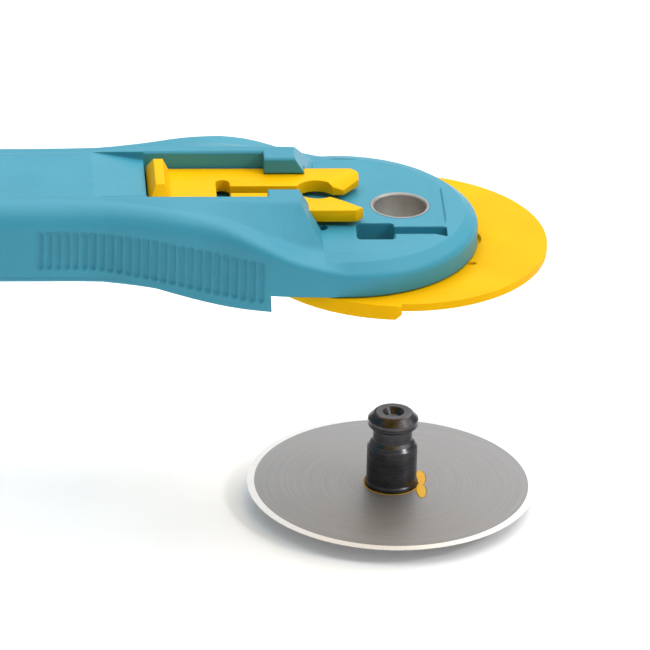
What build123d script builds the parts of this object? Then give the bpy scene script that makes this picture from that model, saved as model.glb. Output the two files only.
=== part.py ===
"""Rotary cutter with a straight handle, a sliding guard and a quick-release blade pin.

+X runs from the grip to the nose, +Z is the pin axis, +Y completes the frame.
Shapes are drawn with the seated blade's top face at Z 0 and moved to the stored pose at the end:
the blade set stands free below the head, its pin foot on Z 0.
"""
from build123d import *
import os
from math import pi, sin, tan

# Stored pose
LIFT = 41.0            # blade set's travel from the stored pose to the seated one
FOOT_T = 2.9           # pin foot's underside below the blade's top face

# Blade set
BLADE_R = 22.5
BLADE_T = 0.3
BEVEL_W = 1.1
JOURNAL_R = 4.10       # pin's plain seat for blade and washer
BORE_R = 4.16          # washer's bore
COLLAR_R = 4.34        # washer's thin collar, which centres the blade
BLADE_BORE_R = 4.38
PIN_R = 3.97
NECK_R = 3.05
WASHER_R = 8.6
WASHER_T = 1.0
FOOT_R = 6.8

# Head
HEAD_A = 21.1          # nose ellipse, along X
HEAD_B = 20.9          # nose ellipse, across
HEAD_X = -9.0          # nose ellipse's centre
HEAD_UNDER = 1.55
RIM_Z = 4.9            # upper edge of the head's side wall
SHOULDER_Z = 6.5       # height and inset of the bend between rim and crown
SHOULDER_IN = 2.1
CROWN_Z = 7.15
CROWN_IN = 4.6         # the crown is flat this far inside the rim
POCKET_Z = 7.0
POCKET_END = 6.7
BUSH_OUT = 4.55
BUSH_BORE = 4.05

# Handle
TOP_Z = 12.5
TAIL_X = -151.4        # centre of the round tail
PART_HEAD = -1.1       # parting line of the two halves near the head
PART_GRIP = 1.0        # and along the grip
CHANNEL_HALF = 7.8
CHANNEL_END = -39.3
LIP_X = -20.8          # rear end of the two retaining lips
LIP_HALF = 5.3
RIM_CHAMFER = 0.35
FRONT_TOP_X = -16.1    # the crest ends here at its top
FRONT_FOOT_X = -12.6
HANG_X = -152.5
HANG_R = 3.5
SCREW_X = (-52.0, -95.0, -138.0)

# Release slide
CLIP_HALF = 7.45
CLIP_Z = (7.85, 9.75)
CLIP_REAR = -38.9
CLIP_TIP = -6.1
CLIP_EYE_X = -12.9
CLIP_EYE_R = 3.2
MOUTH_HALF = 1.9

# Guard
GUARD_R = 22.9
GUARD_X = 0.0
GUARD_Z = (0.15, 1.35)
GUARD_TRAVEL = 7.0
RIM_OUT = 23.7
RIM_IN = 22.9
HOOK_X = (-7.3, -1.4)


def block(x, y, z):
    """Box given by its low and high corner on each axis."""
    size = (x[1] - x[0], y[1] - y[0], z[1] - z[0])
    centre = ((x[0] + x[1]) / 2, (y[0] + y[1]) / 2, (z[0] + z[1]) / 2)
    return Pos(*centre) * Box(*size)


def rod(radius, z, x=0.0, y=0.0):
    """Upright cylinder between two heights."""
    return Pos(x, y, (z[0] + z[1]) / 2) * Cylinder(radius, z[1] - z[0])


def prism(points, z):
    """Straight-sided outline in plan, raised between two heights."""
    face = make_face(Polyline(*points, close=True))
    return extrude(Pos(0, 0, z[0]) * face, z[1] - z[0])


def turned(points):
    """Solid of revolution about Z from (radius, height) points."""
    wire = Polyline(*[(r, 0, h) for r, h in points], close=True)
    return revolve(make_face(wire), Axis.Z)


# ---------------------------------------------------------------- handle, back half
# Cross-sections from the tail to the head: position, half-width at the bottom, outer ridge (y, z),
# foot of the crest's flank (y, z), half-width of the crest, and the three edge radii.
SECTIONS = [
    (TAIL_X, 13.0, 12.8, 12.0, 8.4, 12.2, 7.2, 4.0, 1.0, 1.0),
    (-125.0, 13.5, 13.2, 12.0, 8.8, 12.2, 7.4, 4.0, 1.0, 1.0),
    (-95.0, 13.5, 13.2, 12.0, 8.8, 12.2, 7.4, 4.0, 1.0, 1.0),
    (-60.0, 12.9, 12.5, 12.05, 8.3, 12.2, 7.0, 3.8, 1.0, 1.0),
    (-48.0, 12.9, 12.6, 12.05, 8.7, 12.2, 7.4, 3.6, 1.0, 1.0),
    (-40.0, 14.7, 14.0, 12.05, 10.2, 12.15, 8.8, 3.4, 1.0, 1.0),
    (-34.0, 17.0, 15.8, 11.9, 11.9, 12.05, 9.4, 3.0, 1.2, 1.0),
    (-28.0, 19.0, 17.7, 11.15, 13.3, 11.5, 9.7, 2.4, 1.6, 1.2),
    (-24.5, 19.9, 19.0, 10.15, 14.4, 10.6, 9.8, 1.9, 2.0, 1.6),
    (-20.5, 20.7, 20.2, 8.6, 15.5, 9.2, 9.8, 1.5, 2.2, 2.2),
    (-16.5, 20.9, 20.7, 7.0, 15.8, 7.7, 9.8, 1.2, 2.4, 2.4),
    (-12.6, 20.95, 20.85, 5.9, 15.6, 6.95, 9.8, 1.0, 2.4, 2.4),
]
SECTION_X = [TAIL_X, -138, -125, -110, -95, -80, -68, -60, -54, -50, -46, -43, -40, -37.5, -35,
             -33, -31, -29, -27, -25, -23, -21, -19, -17, -15, -13.8, -12.6]


def profile_at(x):
    """Section values at x, on smooth curves through the rows of SECTIONS."""
    rows = SECTIONS
    i = max(k for k in range(len(rows) - 1) if rows[k][0] <= x)
    a, b = rows[i], rows[i + 1]
    before, after = rows[max(i - 1, 0)], rows[min(i + 2, len(rows) - 1)]
    span = b[0] - a[0]
    t = (x - a[0]) / span
    values = []
    for k in range(1, len(a)):
        rise = (b[k] - a[k]) / span
        rise_a = (a[k] - before[k]) / (a[0] - before[0]) if i > 0 else rise
        rise_b = (after[k] - b[k]) / (after[0] - b[0]) if i + 2 < len(rows) else rise
        slope_a = 2 * rise * rise_a / (rise + rise_a) if rise * rise_a > 0 else 0
        slope_b = 2 * rise * rise_b / (rise + rise_b) if rise * rise_b > 0 else 0
        values.append((2 * t**3 - 3 * t**2 + 1) * a[k] + (t**3 - 2 * t**2 + t) * span * slope_a
                      + (3 * t**2 - 2 * t**3) * b[k] + (t**3 - t**2) * span * slope_b)
    return values


def outline(points, radii, x):
    """Closed outline in the plane across the handle at x; each corner is rounded by its radius."""
    spots = [Vector(x, y, z) for y, z in points]
    edges = []
    last = None
    first = None
    for i, spot in enumerate(spots):
        to_back = (spots[i - 1] - spot).normalized()
        to_next = (spots[(i + 1) % len(spots)] - spot).normalized()
        if radii[i]:
            half_angle = to_back.get_angle(to_next) / 2 * pi / 180
            reach = radii[i] / tan(half_angle)
            middle = (to_back + to_next).normalized()
            depth = radii[i] / sin(half_angle) - radii[i]
            start, end = spot + to_back * reach, spot + to_next * reach
            bend = Edge.make_three_point_arc(start, spot + middle * depth, end)
        else:
            start, end, bend = spot, spot, None
        if last is None:
            first = start
        else:
            edges.append(Edge.make_line(last, start))
        if bend:
            edges.append(bend)
        last = end
    edges.append(Edge.make_line(last, first))
    return Face(Wire(edges))


def section(x):
    """Cross-section of the grip, rounded at ridge, flank foot and crest."""
    half, ridge_y, ridge_z, foot_y, foot_z, crest, r_ridge, r_foot, r_crest = profile_at(x)
    right = [(half, -8.0), (ridge_y, ridge_z), (foot_y, foot_z), (crest, TOP_Z)]
    left = [(-y, z) for y, z in reversed(right)]
    radii = [0, r_ridge, r_foot, r_crest]
    return outline(right + left, radii + radii[::-1], x)


handle = loft([section(x) for x in SECTION_X], ruled=True)

# The tail is the same profile turned half round
def turned_end(face, x):
    """Right half of a cross-section, swept half a turn about the upright line at x."""
    half = face & Plane(origin=(x, 10, 0), x_dir=(0, 1, 0), z_dir=(1, 0, 0)) * Rectangle(20, 60)
    return revolve(half, Axis((x, 0, 0), (0, 0, 1)), 180)


handle += turned_end(section(TAIL_X), TAIL_X)

# The crest stops short of the head in a steep front face
crest_front = make_face(Polyline(
    (FRONT_TOP_X, 0, TOP_Z + 0.01), (FRONT_TOP_X - 1.0, 0, TOP_Z + 3), (0, 0, TOP_Z + 3),
    (0, 0, 6.95), (FRONT_FOOT_X, 0, 6.95), close=True))
handle -= extrude(crest_front, 30, both=True)

# Short stretch of plain plate between the crest and the nose
def plate_section(x, half, ridge, shoulder, crown, r_ridge):
    """Cross-section of the head: side wall, shoulder and flat crown."""
    right = [(half, -8.0), ridge, shoulder, crown]
    left = [(-y, z) for y, z in reversed(right)]
    radii = [0, r_ridge, 0, 0]
    return outline(right + left, radii + radii[::-1], x)


plate = loft([
    plate_section(-12.6, 20.95, (20.85, 5.9), (18.75, 6.32), (15.6, 6.95), 1.0),
    plate_section(-10.8, 20.92, (20.88, 5.35), (18.78, 6.4), (15.9, 7.05), 1.2),
    plate_section(HEAD_X, HEAD_B, (HEAD_B, RIM_Z), (HEAD_B - SHOULDER_IN, SHOULDER_Z),
                  (HEAD_B - CROWN_IN, CROWN_Z), 1.4),
])

# Nose: an elliptical wall under a crown that flattens towards its middle
rim_outline = Ellipse(HEAD_A, HEAD_B).face()
shoulder_outline = Ellipse(HEAD_A - SHOULDER_IN, HEAD_B - SHOULDER_IN).face()
crown_outline = Ellipse(HEAD_A - CROWN_IN, HEAD_B - CROWN_IN).face()
nose = Pos(HEAD_X, 0, -8) * extrude(rim_outline, RIM_Z + 8)
nose += loft([Pos(HEAD_X, 0, RIM_Z) * rim_outline, Pos(HEAD_X, 0, SHOULDER_Z) * shoulder_outline])
nose += loft([Pos(HEAD_X, 0, SHOULDER_Z) * shoulder_outline, Pos(HEAD_X, 0, CROWN_Z) * crown_outline])
rim_edge = nose.edges().filter_by(lambda e: abs(e.center().Z - RIM_Z) < 0.01 and e.length > 100)
nose = fillet(rim_edge, 1.4)
nose &= block((HEAD_X, 30), (-30, 30), (-9, 12))

back = handle + plate + nose

# Parting line seen from the side: level along the grip, lower under the shoulders
parting = Spline((-48.0, PART_GRIP), (-37.0, 0.1), (-24.0, PART_HEAD),
                 tangents=((1, 0), (1, 0)))
lower_side = Wire([
    Edge.make_line((-190, PART_GRIP), (-48.0, PART_GRIP)), parting.edge(),
    Edge.make_line((-24.0, PART_HEAD), (20, PART_HEAD)), Edge.make_line((20, PART_HEAD), (20, -15)),
    Edge.make_line((20, -15), (-190, -15)), Edge.make_line((-190, -15), (-190, PART_GRIP))])
side_plane = Plane(origin=(0, 0, 0), x_dir=(1, 0, 0), z_dir=(0, -1, 0))
below = extrude(side_plane * Face(lower_side), 40, both=True)
back -= below

# Recess for the sliding guard under the head
SWEEP_R = 24.6
guard_sweep = rod(SWEEP_R, (-12, HEAD_UNDER), GUARD_X - GUARD_TRAVEL) \
    + block((GUARD_X - GUARD_TRAVEL, 30), (-SWEEP_R, SWEEP_R), (-12, HEAD_UNDER))
back -= guard_sweep

# Channel for the release slide, its retaining lips, and the pocket on the head
back -= block((CHANNEL_END, 0), (-CHANNEL_HALF, CHANNEL_HALF), (POCKET_Z, 9.95))
back -= block((CHANNEL_END, LIP_X), (-CHANNEL_HALF, CHANNEL_HALF), (9.9, 14))
back -= block((LIP_X - 1, 0), (-LIP_HALF, LIP_HALF), (9.9, 14))
# The rims of the channel and of its lips have a small chamfer
for half, ends in ((CHANNEL_HALF, (CHANNEL_END, LIP_X)), (LIP_HALF, (LIP_X, FRONT_TOP_X + 1))):
    for side in (1, -1):
        rim = make_face(Polyline(
            (ends[0], side * (half - 0.01), TOP_Z - RIM_CHAMFER),
            (ends[0], side * (half + RIM_CHAMFER), TOP_Z + 0.01),
            (ends[0], side * (half - 0.01), TOP_Z + 0.01), close=True))
        back -= extrude(rim, ends[1] - ends[0], dir=(1, 0, 0))
back -= block((FRONT_FOOT_X + 0.1, POCKET_END), (-16.5, 16.5), (POCKET_Z, 14))

# Shallow scoop that lets a thumb reach the slide's tab
scoop = make_face(Polyline((-47.5, 0, TOP_Z + 0.01), (CHANNEL_END + 0.01, 0, TOP_Z - 1.4),
                           (CHANNEL_END + 0.01, 0, 14), (-47.5, 0, 14), close=True))
back -= extrude(scoop, CHANNEL_HALF, both=True)

# A slot on the -Y side opens over the hook there and runs forward as a shallow groove
slot = block(HOOK_X, (-9.8, -6.3), (0, POCKET_Z + 1.5))
slot += block(HOOK_X, (-11.9, -6.3), (4.0, POCKET_Z + 1.5))
slot = fillet(slot.edges().filter_by(Axis.Z), 0.7)
back -= slot
back -= block((HOOK_X[1] - 1, POCKET_END), (-10.0, -7.5), (5.5, POCKET_Z + 1.5))
for side in (1, -1):
    back -= rod(0.9, (4.5, 8), -12.5, side * 7.7)

# A hook on each side holds the guard up
for side in (1, -1):
    hook = block(HOOK_X, (9.8, 11.0), (0.25, HEAD_UNDER + 0.5))
    hook += block(HOOK_X, (7.6, 11.0), (0.25, 0.75))
    back += hook if side > 0 else mirror(hook, Plane.XZ)

# Bore for the bush, hollow grip with screw bosses, hanging hole
back -= rod(BUSH_OUT - 0.02, (0, 9))
cavity = block((-145.0, -58.0), (-9.8, 9.8), (-3, 10.0))
cavity = fillet(cavity.edges().filter_by(Axis.Z), 3.0)
for x in SCREW_X:
    cavity -= rod(3.4, (-4, 11), x)
back -= cavity
for x in SCREW_X:
    back -= rod(1.3, (-4, 9.0), x)
back -= rod(HANG_R, (-12, 16), HANG_X)

# Grip ribs: upright flutes along both flanks
FLUTE_PITCH = 1.335
FLUTE_COUNT = 26
FLUTE_R = 0.7
FLUTE_DEPTH = 0.38
FLUTE_X = -55.9

flutes = []
for i in range(FLUTE_COUNT):
    x = FLUTE_X + i * FLUTE_PITCH
    low, top, ridge_z = profile_at(x)[:3]
    edge_z = PART_GRIP + (PART_HEAD - PART_GRIP) * min(max((x + 48.0) / 24.0, 0.0), 1.0)
    z_low, z_high = edge_z + 1.9, 8.2 - 1.9 * (i / FLUTE_COUNT) ** 2
    y_at = low + (top - low) * (z_high + 8.0) / (ridge_z + 8.0)
    y_bottom = low + (top - low) * (z_low + 8.0) / (ridge_z + 8.0)
    out = FLUTE_R - FLUTE_DEPTH
    start = Vector(x, y_bottom + out, z_low)
    end = Vector(x, y_at + out, z_high)
    path = end - start
    flute = Plane(origin=start, z_dir=path) * Pos(0, 0, path.length / 2) \
        * Cylinder(FLUTE_R, path.length)
    flute += Pos(*start) * Sphere(FLUTE_R) + Pos(*end) * Sphere(FLUTE_R)
    flutes += [flute, mirror(flute, Plane.XZ)]
back -= flutes

# ---------------------------------------------------------------- handle, front half
# A shallow domed cover, inset so that it stays inside the flanks.
def cover_section(x, half):
    """Cross-section of the cover, highest at its rim and flat underneath."""
    right = [(half - 0.4, 4.0), (half - 0.5, 0.2), (half - 3.0, -0.9), (half - 7.0, -3.0)]
    left = [(-y, z) for y, z in reversed(right)]
    radii = [0, 0.8, 3.0, 3.0]
    return outline(right + left, radii + radii[::-1], x)


cover = loft([cover_section(x, profile_at(x)[0]) for x in SECTION_X if x <= -33], ruled=True)
cover += turned_end(cover_section(TAIL_X, SECTIONS[0][1]), TAIL_X)
cover &= below
cover -= block((-145.0, -58.0), (-6.6, 6.6), (-1.4, 4))
for x in SCREW_X:
    cover += rod(3.4, (-2.2, PART_GRIP), x)
    cover -= rod(1.7, (-8, 4), x)
    cover -= rod(3.0, (-8, -1.4), x)
cover -= rod(HANG_R, (-12, 16), HANG_X)

# ---------------------------------------------------------------- screws and bush
screws = []
for x in SCREW_X:
    screw = rod(1.42, (-1.5, 7.5), x) + rod(2.7, (-2.9, -1.4), x)
    screw -= block((x - 2.1, x + 2.1), (-0.35, 0.35), (-3.2, -2.3))
    screw -= block((x - 0.35, x + 0.35), (-2.1, 2.1), (-3.2, -2.3))
    screws.append(screw)

bush = rod(BUSH_OUT, (HEAD_UNDER, POCKET_Z + 0.05)) - rod(BUSH_BORE, (0, 9))
bush = chamfer(bush.edges().filter_by(GeomType.CIRCLE).filter_by(
    lambda e: e.radius < BUSH_OUT - 0.1), 0.22)

# ---------------------------------------------------------------- release slide
clip = block((CLIP_REAR, CLIP_TIP), (-CLIP_HALF, CLIP_HALF), CLIP_Z)
clip -= prism([(-13.0, -MOUTH_HALF), (-8.6, -MOUTH_HALF), (CLIP_TIP + 0.1, -5.2),
               (CLIP_TIP + 0.1, 5.2), (-8.6, MOUTH_HALF), (-13.0, MOUTH_HALF)], (7, 11))
clip -= rod(CLIP_EYE_R, (7, 11), CLIP_EYE_X)
clip -= block((-27.0, -13.0), (-1.2, 1.2), (7, 11))
relief = extrude(Pos(-27.3, 0, 7) * SlotOverall(6.8, 2.2, rotation=90), 4)
clip -= relief
for y in (CLIP_HALF, -CLIP_HALF):
    corner = clip.edges().filter_by(Axis.Z).sort_by_distance(Vector(CLIP_TIP, y, 8.8))[0]
    clip = chamfer(corner, 1.2)
# A slanting lead-in on top of each prong guides the pin's rim into the fork
start, outer, inner = Vector(-11.0, 2.6, CLIP_Z[1]), Vector(-6.6, 6.4, CLIP_Z[1]), Vector(-6.0, 4.4, 8.75)
slant = Plane(origin=start, x_dir=outer - start, z_dir=(inner - start).cross(outer - start))
if slant.z_dir.Z < 0:
    slant = Plane(origin=start, x_dir=outer - start, z_dir=-slant.z_dir)
wedge = slant * Pos(0, 0, 5) * Box(20, 20, 10) & block((-11.0, 0), (0, 8), (8, 12))
clip -= wedge
clip -= mirror(wedge, Plane.XZ)
tab = make_face(Polyline((CLIP_REAR, 0, 9.0), (CLIP_REAR, 0, 10.6), (-37.9, 0, 12.9), (-36.5, 0, 12.9),
                         (-35.4, 0, 9.75), (-35.4, 0, 9.0), close=True))
tab = extrude(tab, 7.2, both=True)
for side in (1, -1):
    bevel = make_face(Polyline((0, side * 4.2, 13.2), (0, side * 8.0, 13.2), (0, side * 8.0, 9.75),
                               (0, side * 7.2, 9.75), close=True))
    tab -= extrude(bevel, 60, both=True)
clip += tab
for side in (1, -1):
    runner = block((-38.2, -15.0), (5.2, 7.0), (POCKET_Z + 0.05, 8.2))
    clip += runner if side > 0 else mirror(runner, Plane.XZ)

# ---------------------------------------------------------------- guard
guard = rod(GUARD_R, GUARD_Z, GUARD_X)
rear_rim = rod(RIM_OUT, (-0.95, GUARD_Z[1]), GUARD_X) - rod(RIM_IN, (-2, GUARD_Z[0]), GUARD_X)
rear_rim &= block((-30, -1.0), (-30, 30), (-2, 2))
rear_rim -= extrude(make_face(Polyline((-0.8, 0, GUARD_Z[0]), (-2.2, 0, -1.2), (0.2, 0, -1.2),
                                       close=True)), 30, both=True)
guard += rear_rim
pin_slot = extrude(Pos((-4.4 + 11.5) / 2, 0, -2) * SlotOverall(15.9, 8.8), 5)
guard -= pin_slot
guard -= extrude(Pos((-4.4 + 12.7) / 2, 0, GUARD_Z[1] - 0.7) * SlotOverall(17.1, 8.8), 2)
for side in (1, -1):
    hook_slot = block((HOOK_X[0] - 0.35, HOOK_X[1] + GUARD_TRAVEL + 0.35), (9.5, 11.3), (-2, 3))
    toe_slot = block((HOOK_X[0] - 0.35, HOOK_X[1] + GUARD_TRAVEL + 0.35), (7.3, 11.3), (-2, 0.85))
    tongue_slot = extrude(Pos(9.2, 8.8, -2) * SlotOverall(4.4, 0.9), 5)
    if side < 0:
        hook_slot, toe_slot, tongue_slot = [
            mirror(s, Plane.XZ) for s in (hook_slot, toe_slot, tongue_slot)]
    guard -= hook_slot + toe_slot
    guard -= tongue_slot

# ---------------------------------------------------------------- blade set
pin = turned([
    (0, -2.9), (FOOT_R - 0.6, -2.9), (FOOT_R, -2.4), (FOOT_R, -1.3), (JOURNAL_R, -1.3),
    (JOURNAL_R, 0.55), (PIN_R - 0.04, 0.8), (PIN_R - 0.04, 6.75), (3.5, 7.35), (NECK_R, 7.8),
    (NECK_R, 9.75), (3.5, 10.1), (3.9, 10.25), (PIN_R, 10.45), (3.9, 10.65), (PIN_R, 10.85),
    (3.93, 11.35), (3.0, 12.3), (2.7, 12.4), (1.7, 12.4), (0.9, 11.5), (0, 11.3)])

blade = turned([
    (BLADE_BORE_R, -BLADE_T), (BLADE_R - BEVEL_W, -BLADE_T), (BLADE_R, -BLADE_T / 2 - 0.03),
    (BLADE_R, -BLADE_T / 2 + 0.03), (BLADE_R - BEVEL_W, 0), (BLADE_BORE_R, 0)])
LOBES = ((4.7, 1.45), (4.5, -2.9))      # centres of the notch's two lobes
for x, y in LOBES:
    blade -= extrude(Pos(x, y, -1) * Ellipse(0.85, 2.5).face(), 2)

washer = rod(WASHER_R, (-BLADE_T - WASHER_T, -BLADE_T)) - rod(BORE_R, (-3, 1))
washer = chamfer(washer.edges().group_by(Axis.Z)[0].filter_by(
    lambda e: e.radius > BORE_R + 1), 0.3)
washer += rod(COLLAR_R, (-BLADE_T - 0.1, -0.03))
for x, y in LOBES:
    washer += extrude(Pos(x, y, -BLADE_T - 0.1) * Ellipse(0.75, 2.38).face(), 0.45)
washer -= rod(BORE_R, (-3, 1))

# ---------------------------------------------------------------- stored pose and export
HEAD_UP = LIFT + FOOT_T
NODES = {
    "back_shell": (back, HEAD_UP),
    "front_shell": (cover, HEAD_UP),
    "shell_screws": (Compound(children=screws), HEAD_UP),
    "pin_bush": (bush, HEAD_UP),
    "release_slide": (clip, HEAD_UP),
    "blade_guard": (guard, HEAD_UP),
    "blade_pin": (pin, FOOT_T),
    "blade": (blade, FOOT_T),
    "blade_washer": (washer, FOOT_T),
}
os.makedirs("parts", exist_ok=True)
for name, (shape, up) in NODES.items():
    export_step(Pos(0, 0, up) * shape, f"parts/{name}.step")
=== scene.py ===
import bpy
from math import radians, sin, cos
from mathutils import Vector, Matrix


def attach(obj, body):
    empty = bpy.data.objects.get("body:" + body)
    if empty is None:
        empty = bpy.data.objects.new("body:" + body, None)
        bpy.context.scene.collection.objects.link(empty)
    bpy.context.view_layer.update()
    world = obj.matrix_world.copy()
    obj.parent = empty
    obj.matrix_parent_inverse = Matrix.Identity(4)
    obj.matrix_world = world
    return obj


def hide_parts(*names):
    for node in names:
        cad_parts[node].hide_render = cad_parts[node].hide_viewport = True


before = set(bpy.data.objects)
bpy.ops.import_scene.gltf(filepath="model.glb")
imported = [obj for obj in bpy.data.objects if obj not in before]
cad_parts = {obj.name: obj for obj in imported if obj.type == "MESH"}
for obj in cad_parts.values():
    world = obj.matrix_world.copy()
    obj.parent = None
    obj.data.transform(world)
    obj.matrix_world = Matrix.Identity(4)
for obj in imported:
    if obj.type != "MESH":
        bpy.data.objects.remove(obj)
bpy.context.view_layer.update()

# ------------------------------------------------------------------ Handle, back half
# The handle's back half, with the round head, is one injection moulding in teal plastic. It has
# a fine satin texture from the mould, softly rounded edges and moulded grip flutes.

MM = 0.001
TEAL = (0.043, 0.275, 0.375)
TEAL_SHADE = (0.038, 0.250, 0.345)
TEAL_GLOSS = 0.42               # roughness of the teal surface


class Finish:
    """A node material under construction: short calls for the nodes the finishes share."""

    def __init__(self, name):
        self.material = bpy.data.materials.new(name)
        self.material.use_nodes = True
        self.tree = self.material.node_tree
        self.shader = self.tree.nodes["Principled BSDF"]
        self.place = self.node("ShaderNodeTexCoord").outputs["Object"]

    def node(self, kind, **settings):
        made = self.tree.nodes.new(kind)
        for key, value in settings.items():
            setattr(made, key, value)
        return made

    def join(self, source, target):
        self.tree.links.new(source, target)

    def noise(self, scale, detail, vector=None):
        made = self.node("ShaderNodeTexNoise")
        made.inputs["Scale"].default_value = scale
        made.inputs["Detail"].default_value = detail
        self.join(vector or self.place, made.inputs["Vector"])
        return made.outputs["Fac"]

    def stretched(self, scale):
        made = self.node("ShaderNodeMapping")
        made.inputs["Scale"].default_value = scale
        self.join(self.place, made.inputs["Vector"])
        return made.outputs["Vector"]

    def blend(self, factor, low, high):
        """Goes from one colour to the other over the middle of the factor's range."""
        made = self.node("ShaderNodeValToRGB")
        for stop, position, colour in zip(made.color_ramp.elements, (0.3, 0.7), (low, high)):
            stop.position = position
            stop.color = (*colour, 1)
        self.join(factor, made.inputs["Fac"])
        return made.outputs["Color"]

    def remap(self, value, low, high, start=0.0, end=1.0):
        """Turns the range from start to end into the range from low to high."""
        made = self.node("ShaderNodeMapRange")
        made.inputs["From Min"].default_value = start
        made.inputs["From Max"].default_value = end
        made.inputs["To Min"].default_value = low
        made.inputs["To Max"].default_value = high
        self.join(value, made.inputs["Value"])
        return made.outputs["Result"]

    def bump(self, height, strength, depth_mm, normal=None):
        made = self.node("ShaderNodeBump")
        made.inputs["Strength"].default_value = strength
        made.inputs["Distance"].default_value = depth_mm * MM
        self.join(height, made.inputs["Height"])
        if normal:
            self.join(normal, made.inputs["Normal"])
        return made.outputs["Normal"]

    def soft_edges(self, radius_mm):
        """Normal that turns gently over an edge, as the small round of a worn or moulded one."""
        made = self.node("ShaderNodeBevel", samples=8)
        made.inputs["Radius"].default_value = radius_mm * MM
        return made.outputs["Normal"]

    def set(self, **links):
        names = {"colour": "Base Color", "rough": "Roughness", "normal": "Normal"}
        for key, source in links.items():
            self.join(source, self.shader.inputs[names[key]])
        return self.material


DRIFT_SCALE = 85                # slow drift of the colour, a centimetre or so across
POLISH_SCALE = 620              # patches that shine a little more or less
POLISH_SPREAD = 0.07            # how far those patches take the roughness either way
TEXTURE_SCALE = 3000            # the mould's own fine texture
TEXTURE_DEPTH = 0.03            # its depth in millimetres


def moulded_plastic(name, colour, shade, roughness, edge_mm, grain=0.3, sheen=0.25):
    """Satin moulded plastic: faint colour drift, a fine mould texture and softened edges."""
    look = Finish(name)
    look.shader.inputs["Specular IOR Level"].default_value = sheen
    drift = look.noise(DRIFT_SCALE, 5)
    polish = look.noise(POLISH_SCALE, 3)
    texture = look.noise(TEXTURE_SCALE, 4)
    return look.set(
        colour=look.blend(drift, shade, colour),
        rough=look.remap(polish, roughness - POLISH_SPREAD, roughness + POLISH_SPREAD),
        normal=look.bump(texture, grain, TEXTURE_DEPTH, look.soft_edges(edge_mm)))


def dress(node, material):
    """Gives a CAD node its finish."""
    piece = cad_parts[node]
    if not piece.material_slots:
        piece.data.materials.append(material)
    for place in piece.material_slots:
        place.material = material


dress("back_shell", moulded_plastic(
    "teal plastic", TEAL, TEAL_SHADE, TEAL_GLOSS, edge_mm=0.4))

# ------------------------------------------------------------------ Handle, front half
# The front half closes the hollow grip and is moulded in the same teal plastic. Three screws
# from below hold the halves together.

dress("front_shell", moulded_plastic(
    "teal plastic, front", TEAL, TEAL_SHADE, TEAL_GLOSS, edge_mm=0.3))

# ------------------------------------------------------------------ Shell screws
# Three self-tapping screws, turned from steel and zinc plated, sit in counterbores on the
# underside. Each one cuts its own thread in a boss of the back half.

ZINC = (0.62, 0.62, 0.60)
ZINC_DULLED = (0.50, 0.49, 0.44)

RING_DRIFT = 60                 # how fast the rings change along their own round
RING_GLOSS = 0.1                # how far the rings take the roughness either way
STAIN_SCALE = 350               # patches where the surface has dulled
TURNED_EDGE = 0.08              # millimetres of softened edge left by the lathe


def turned_metal(name, colour, shade, roughness, ring_mm, depth_mm):
    """Turned metal: fine rings stacked along the upright axis, in gloss and relief."""
    look = Finish(name)
    look.shader.inputs["Metallic"].default_value = 1.0
    rings = look.noise(1.0, 3, look.stretched((RING_DRIFT, RING_DRIFT, 1 / MM / ring_mm)))
    stain = look.noise(STAIN_SCALE, 4)
    return look.set(
        colour=look.blend(stain, shade, colour),
        rough=look.remap(rings, roughness - RING_GLOSS, roughness + RING_GLOSS),
        normal=look.bump(rings, 0.5, depth_mm, look.soft_edges(TURNED_EDGE)))


dress("shell_screws", turned_metal(
    "zinc-plated steel", ZINC, ZINC_DULLED, roughness=0.33, ring_mm=0.2, depth_mm=0.01))

# ------------------------------------------------------------------ Pin bush
# A short bush, turned from plain steel, is pressed into the head. The blade's pin slides up
# through it and is held upright by its bore.

BUSH_STEEL = (0.40, 0.395, 0.38)
BUSH_DULLED = (0.33, 0.325, 0.31)

dress("pin_bush", turned_metal(
    "bush steel", BUSH_STEEL, BUSH_DULLED, roughness=0.62, ring_mm=0.25, depth_mm=0.008))

# ------------------------------------------------------------------ Release clip
# The forked clip is moulded in yellow plastic, with all its edges rounded. It slides in the
# channel under the two lips, and its prongs spring round the neck of the pin.

YELLOW = (0.82, 0.46, 0.0)
YELLOW_SHADE = (0.77, 0.41, 0.0)

CLIP_ROUND = 0.16 * MM          # edge radius of the moulding
ROUND_STEPS = 3
SHARP_EDGE = radians(35)        # an edge that turns more than this is rounded
SAME_POINT = 0.002 * MM         # corners nearer than this are one corner
FLAT = radians(0.6)             # facets that turn less than this are one flat face
SMOOTH = radians(30)            # edges that turn less than this are shaded smooth


def rounded_moulding(node, name, edge_radius):
    """Copy of a CAD node as one closed mesh, its sharp edges rounded as a mould leaves them."""
    piece = bpy.data.objects.new(name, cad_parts[node].data.copy())
    bpy.context.scene.collection.objects.link(piece)
    bpy.ops.object.select_all(action="DESELECT")
    bpy.context.view_layer.objects.active = piece
    piece.select_set(True)
    bpy.ops.object.mode_set(mode="EDIT")
    bpy.ops.mesh.select_all(action="SELECT")
    bpy.ops.mesh.remove_doubles(threshold=SAME_POINT)
    bpy.ops.mesh.dissolve_limited(angle_limit=FLAT)
    bpy.ops.object.mode_set(mode="OBJECT")
    rounding = piece.modifiers.new("rounding", "BEVEL")
    rounding.width = edge_radius
    rounding.segments = ROUND_STEPS
    rounding.limit_method = "ANGLE"
    rounding.angle_limit = SHARP_EDGE
    bpy.ops.object.modifier_apply(modifier="rounding")
    bpy.ops.object.shade_smooth_by_angle(angle=SMOOTH)
    piece.data.materials.clear()
    return piece


clip = rounded_moulding("release_slide", "release_clip", CLIP_ROUND)
clip.data.materials.append(moulded_plastic(
    "yellow clip plastic", YELLOW, YELLOW_SHADE,
    roughness=0.42, edge_mm=0.12, grain=0.25, sheen=0.06))
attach(clip, "release")
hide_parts("release_slide")

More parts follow.
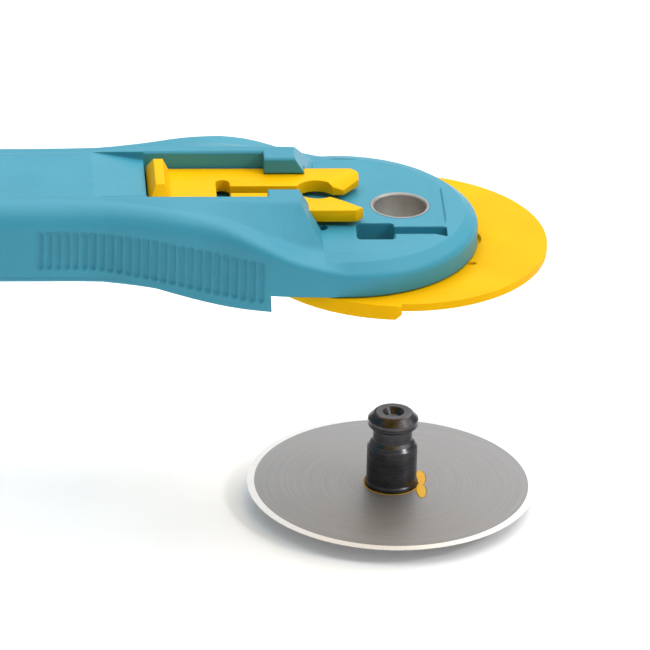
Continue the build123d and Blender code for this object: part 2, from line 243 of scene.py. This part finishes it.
# ------------------------------------------------------------------ Guard
# The guard is a thin moulded disc with a deeper rim round its back half. It slides back under
# the head to bare the blade's edge.

GUARD = (0.80, 0.445, 0.0)
GUARD_SHADE = (0.74, 0.385, 0.0)
GUARD_ROUND = 0.14 * MM         # edge radius of the moulding

guard = rounded_moulding("blade_guard", "guard_disc", GUARD_ROUND)
guard.data.materials.append(moulded_plastic(
    "yellow guard plastic", GUARD, GUARD_SHADE,
    roughness=0.45, edge_mm=0.12, grain=0.3, sheen=0.05))
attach(guard, "guard")
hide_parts("blade_guard")

# ------------------------------------------------------------------ Blade pin
# The pin is turned from steel and blackened in oil: nearly black, glossy, with fine lathe rings.
# The clip's prongs close round its neck, and its foot carries the washer and the blade.

BLACKENED = (0.100, 0.098, 0.104)
BLACKENED_SHADE = (0.050, 0.050, 0.056)

dress("blade_pin", turned_metal(
    "blackened steel", BLACKENED, BLACKENED_SHADE, roughness=0.28, ring_mm=0.3, depth_mm=0.012))

# ------------------------------------------------------------------ Blade
# The blade is a disc of hardened steel, ground in fine rings, with a bevel ground at its edge.
# The bevel's colour is painted much brighter than the flat's: partly its fresh grind, partly a
# painted highlight. Its centre hole sits on the washer's collar, and the two turn on the pin
# together.

BEVEL_START = 21.38 * MM        # the flat ends here and the bevel begins
BEVEL_FULL = 21.44 * MM
FLAT_DARK, FLAT_LIGHT = (0.26, 0.26, 0.265), (0.315, 0.315, 0.32)
# Bevel colours: partly the fresh grind, partly a painted highlight on the tilted edge
BEVEL_GRIND_AND_HIGHLIGHT_DARK, BEVEL_GRIND_AND_HIGHLIGHT_LIGHT = (0.72, 0.72, 0.72), (0.85, 0.85, 0.85)
BLADE_METAL = 0.75
RINGS_PER_METRE = 4000
SPOKE_SCALE = 260               # radial marks round the bevel


def ground_steel(name):
    """Steel ground round its centre; the edge's bevel has radial grinding marks and a bright
    colour that is partly a painted highlight.
    """
    look = Finish(name)
    look.shader.inputs["Metallic"].default_value = BLADE_METAL
    flat = look.stretched((1, 1, 0))
    radius = look.node("ShaderNodeVectorMath", operation="LENGTH")
    look.join(flat, radius.inputs[0])
    heading = look.node("ShaderNodeVectorMath", operation="NORMALIZE")
    look.join(flat, heading.inputs[0])
    parts = look.node("ShaderNodeSeparateXYZ")
    look.join(heading.outputs["Vector"], parts.inputs["Vector"])
    around = look.node("ShaderNodeCombineXYZ")
    look.join(parts.outputs["X"], around.inputs["X"])
    look.join(parts.outputs["Y"], around.inputs["Y"])
    look.join(look.remap(radius.outputs["Value"], 0, RINGS_PER_METRE), around.inputs["Z"])
    rings = look.noise(1.6, 5, around.outputs["Vector"])
    spokes = look.noise(SPOKE_SCALE, 3, heading.outputs["Vector"])
    on_bevel = look.remap(radius.outputs["Value"], 0, 1, BEVEL_START, BEVEL_FULL)

    def either(flat_value, bevel_value, kind, sockets):
        mix = look.node("ShaderNodeMix", data_type=kind)
        look.join(on_bevel, mix.inputs["Factor"])
        look.join(flat_value, mix.inputs[sockets[0]])
        look.join(bevel_value, mix.inputs[sockets[1]])
        return mix.outputs[sockets[2]]

    # The mix node has one set of sockets for numbers and another for colours
    number, colour = (2, 3, 0), (6, 7, 2)
    marks = either(rings, spokes, "FLOAT", number)
    return look.set(
        colour=either(look.blend(rings, FLAT_DARK, FLAT_LIGHT),
                      look.blend(spokes, BEVEL_GRIND_AND_HIGHLIGHT_DARK, BEVEL_GRIND_AND_HIGHLIGHT_LIGHT), "RGBA", colour),
        rough=look.remap(marks, 0.44, 0.58),
        normal=look.bump(marks, 0.25, depth_mm=0.01))


dress("blade", ground_steel("ground blade steel"))

# ------------------------------------------------------------------ Blade washer
# A small washer moulded in yellow plastic carries the blade. Its thin collar fills the blade's
# hole, and its two-lobed lug stands in the notch of that hole.

dress("blade_washer", moulded_plastic(
    "yellow washer plastic", YELLOW, YELLOW_SHADE, roughness=0.4, edge_mm=0.06, grain=0.25))

# ------------------------------------------------------------------ Floor
# A plain pale table top, matt all over, just under the pin's foot. It gives off a faint light
# of its own, so that the shadows on it stay pale.

FLOOR_SIZE = 8
FLOOR_DROP = 0.2 * MM           # a hair below the foot, so that the two faces don't meet
FLOOR_DARK, FLOOR_LIGHT = (0.925, 0.925, 0.925), (0.94, 0.94, 0.94)
FLOOR_GLOW = 0.1

bpy.ops.mesh.primitive_plane_add(size=FLOOR_SIZE, location=(0, 0, -FLOOR_DROP))
floor = bpy.context.object
floor.name = "floor"
table = Finish("pale table")
table.shader.inputs["Specular IOR Level"].default_value = 0.1
table.shader.inputs["Emission Color"].default_value = (1, 1, 1, 1)
table.shader.inputs["Emission Strength"].default_value = FLOOR_GLOW
floor.data.materials.append(table.set(
    colour=table.blend(table.noise(40, 3), FLOOR_DARK, FLOOR_LIGHT),
    rough=table.remap(table.noise(200, 2), 0.85, 0.95)))

# ------------------------------------------------------------------ Camera
# A long lens looks down on the near side of the head, with the grip running off to the left.
# It is tilted a little, and it aims above the table at a point just behind the pin's axis.

AZIMUTH, ELEVATION, ROLL = radians(-4.0), radians(26.5), radians(1.6)
DISTANCE = 1.6
AIM = Vector((-11.03, 0.0, 30.34)) * MM
LENS, FILM_WIDTH = 572.4, 36    # millimetres
FARTHEST = 30                   # nothing beyond this is drawn

back_way = Vector((
    sin(AZIMUTH) * cos(ELEVATION), -cos(AZIMUTH) * cos(ELEVATION), sin(ELEVATION)))
right_way = Vector((cos(AZIMUTH), sin(AZIMUTH), 0))
up_way = back_way.cross(right_way)
right_tilt = right_way * cos(ROLL) + up_way * sin(ROLL)
camera = bpy.data.objects.new("camera", bpy.data.cameras.new("camera"))
bpy.context.scene.collection.objects.link(camera)
turn = Matrix((right_tilt, back_way.cross(right_tilt), back_way)).transposed().to_4x4()
turn.translation = AIM + back_way * DISTANCE
camera.matrix_world = turn
camera.data.sensor_width = FILM_WIDTH
camera.data.lens = LENS
camera.data.clip_end = FARTHEST
bpy.context.scene.camera = camera
bpy.context.scene.view_settings.view_transform = "Standard"

# ------------------------------------------------------------------ Lights
# A wide softbox overhead gives an even light, a card behind gives the metal its sheen, and a
# small lamp on the right picks out edges. A weak white surround fills the shadows.

SURROUND = 0.4


def softbox(name, place, width, depth, watts):
    """A rectangular lamp that faces the point the camera aims at."""
    lamp_data = bpy.data.lights.new(name, "AREA")
    lamp_data.shape = "RECTANGLE"
    lamp_data.size = width
    lamp_data.size_y = depth
    lamp_data.energy = watts
    lamp = bpy.data.objects.new(name, lamp_data)
    bpy.context.scene.collection.objects.link(lamp)
    lamp.location = place
    lamp.rotation_euler = (AIM - Vector(place)).to_track_quat("-Z", "Y").to_euler()


softbox("overhead", (0.25, 0.35, 1.6), width=2.6, depth=2.6, watts=48)
softbox("card behind", (0.9, 2.0, 1.0), width=1.6, depth=1.0, watts=5)
softbox("right lamp", (1.0, -0.5, 0.9), width=0.22, depth=0.22, watts=5)
world = bpy.data.worlds.new("surround")
world.use_nodes = True
sky = world.node_tree.nodes["Background"]
sky.inputs["Color"].default_value = (1, 1, 1, 1)
sky.inputs["Strength"].default_value = SURROUND
bpy.context.scene.world = world
